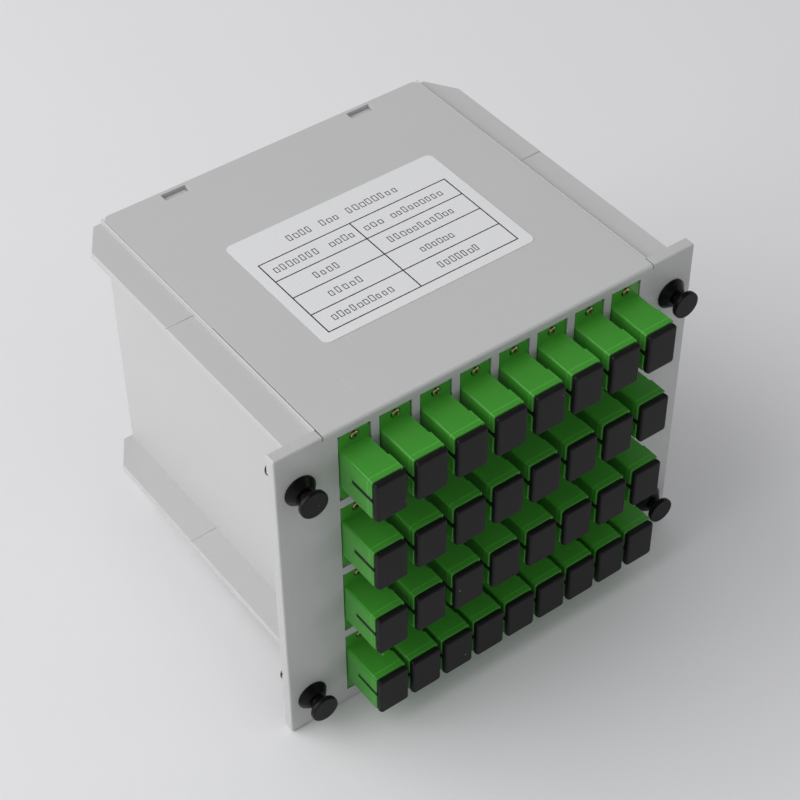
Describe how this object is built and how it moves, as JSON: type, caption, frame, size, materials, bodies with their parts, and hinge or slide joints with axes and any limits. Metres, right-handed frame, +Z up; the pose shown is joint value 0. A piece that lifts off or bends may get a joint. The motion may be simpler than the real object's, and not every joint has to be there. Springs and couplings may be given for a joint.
{
  "type": "plc fibre splitter",
  "caption": "Plug-in fibre splitter cassette: grey case behind a wide front panel, rows of green adapters with black dust caps, push-pull latches at the corners.",
  "frame": {"origin": "middle of the front panel's back face, which seats on the rack", "axes": "+X to the viewer's right along the panel, +Y from the panel back through the case, +Z up"},
  "size_m": [0.13, 0.1152, 0.1021],
  "materials": {
    "case_grey": "fine moulded texture",
    "adapter_green": "smooth moulded",
    "cap_black": "smooth moulded",
    "latch_black": "smooth nylon",
    "label_paper": "matte",
    "chip_steel": "brushed",
    "screw_brass": "plated",
    "print_grey": "printed"
  },
  "bodies": {
    "root": {"adapters_row_1": "adapter_green", "adapters_row_2": "adapter_green", "adapters_row_3": "adapter_green", "adapters_row_4": "adapter_green", "chip_case": "chip_steel", "cover": "case_grey", "dust_cap_1_1": "cap_black", "dust_cap_1_2": "cap_black", "dust_cap_1_3": "cap_black", "dust_cap_1_4": "cap_black", "dust_cap_1_5": "cap_black", "dust_cap_1_6": "cap_black", "dust_cap_1_7": "cap_black", "dust_cap_1_8": "cap_black", "dust_cap_2_1": "cap_black", "dust_cap_2_2": "cap_black", "dust_cap_2_3": "cap_black", "dust_cap_2_4": "cap_black", "dust_cap_2_5": "cap_black", "dust_cap_2_6": "cap_black", "dust_cap_2_7": "cap_black", "dust_cap_2_8": "cap_black", "dust_cap_3_1": "cap_black", "dust_cap_3_2": "cap_black", "dust_cap_3_3": "cap_black", "dust_cap_3_4": "cap_black", "dust_cap_3_5": "cap_black", "dust_cap_3_6": "cap_black", "dust_cap_3_7": "cap_black", "dust_cap_3_8": "cap_black", "dust_cap_4_1": "cap_black", "dust_cap_4_2": "cap_black", "dust_cap_4_3": "cap_black", "dust_cap_4_4": "cap_black", "dust_cap_4_5": "cap_black", "dust_cap_4_6": "cap_black", "dust_cap_4_7": "cap_black", "dust_cap_4_8": "cap_black", "dust_cap_4_9": "cap_black", "front_panel": "case_grey", "housing": "case_grey", "label": "label_paper", "latch_collars": "latch_black"},
    "latch_plunger_1": {"latch_plunger_1": "latch_black"},
    "latch_plunger_2": {"latch_plunger_2": "latch_black"},
    "latch_plunger_3": {"latch_plunger_3": "latch_black"},
    "latch_plunger_4": {"latch_plunger_4": "latch_black"}
  },
  "joints": [
    {"name": "latch_pull_1", "type": "slide", "parent": "root", "child": "latch_plunger_1", "axis": [0, -1, 0], "range_m": [0, 0.0055]},
    {"name": "latch_pull_2", "type": "slide", "parent": "root", "child": "latch_plunger_2", "axis": [0, -1, 0], "range_m": [0, 0.0055]},
    {"name": "latch_pull_3", "type": "slide", "parent": "root", "child": "latch_plunger_3", "axis": [0, -1, 0], "range_m": [0, 0.0055]},
    {"name": "latch_pull_4", "type": "slide", "parent": "root", "child": "latch_plunger_4", "axis": [0, -1, 0], "range_m": [0, 0.0055]}
  ]
}
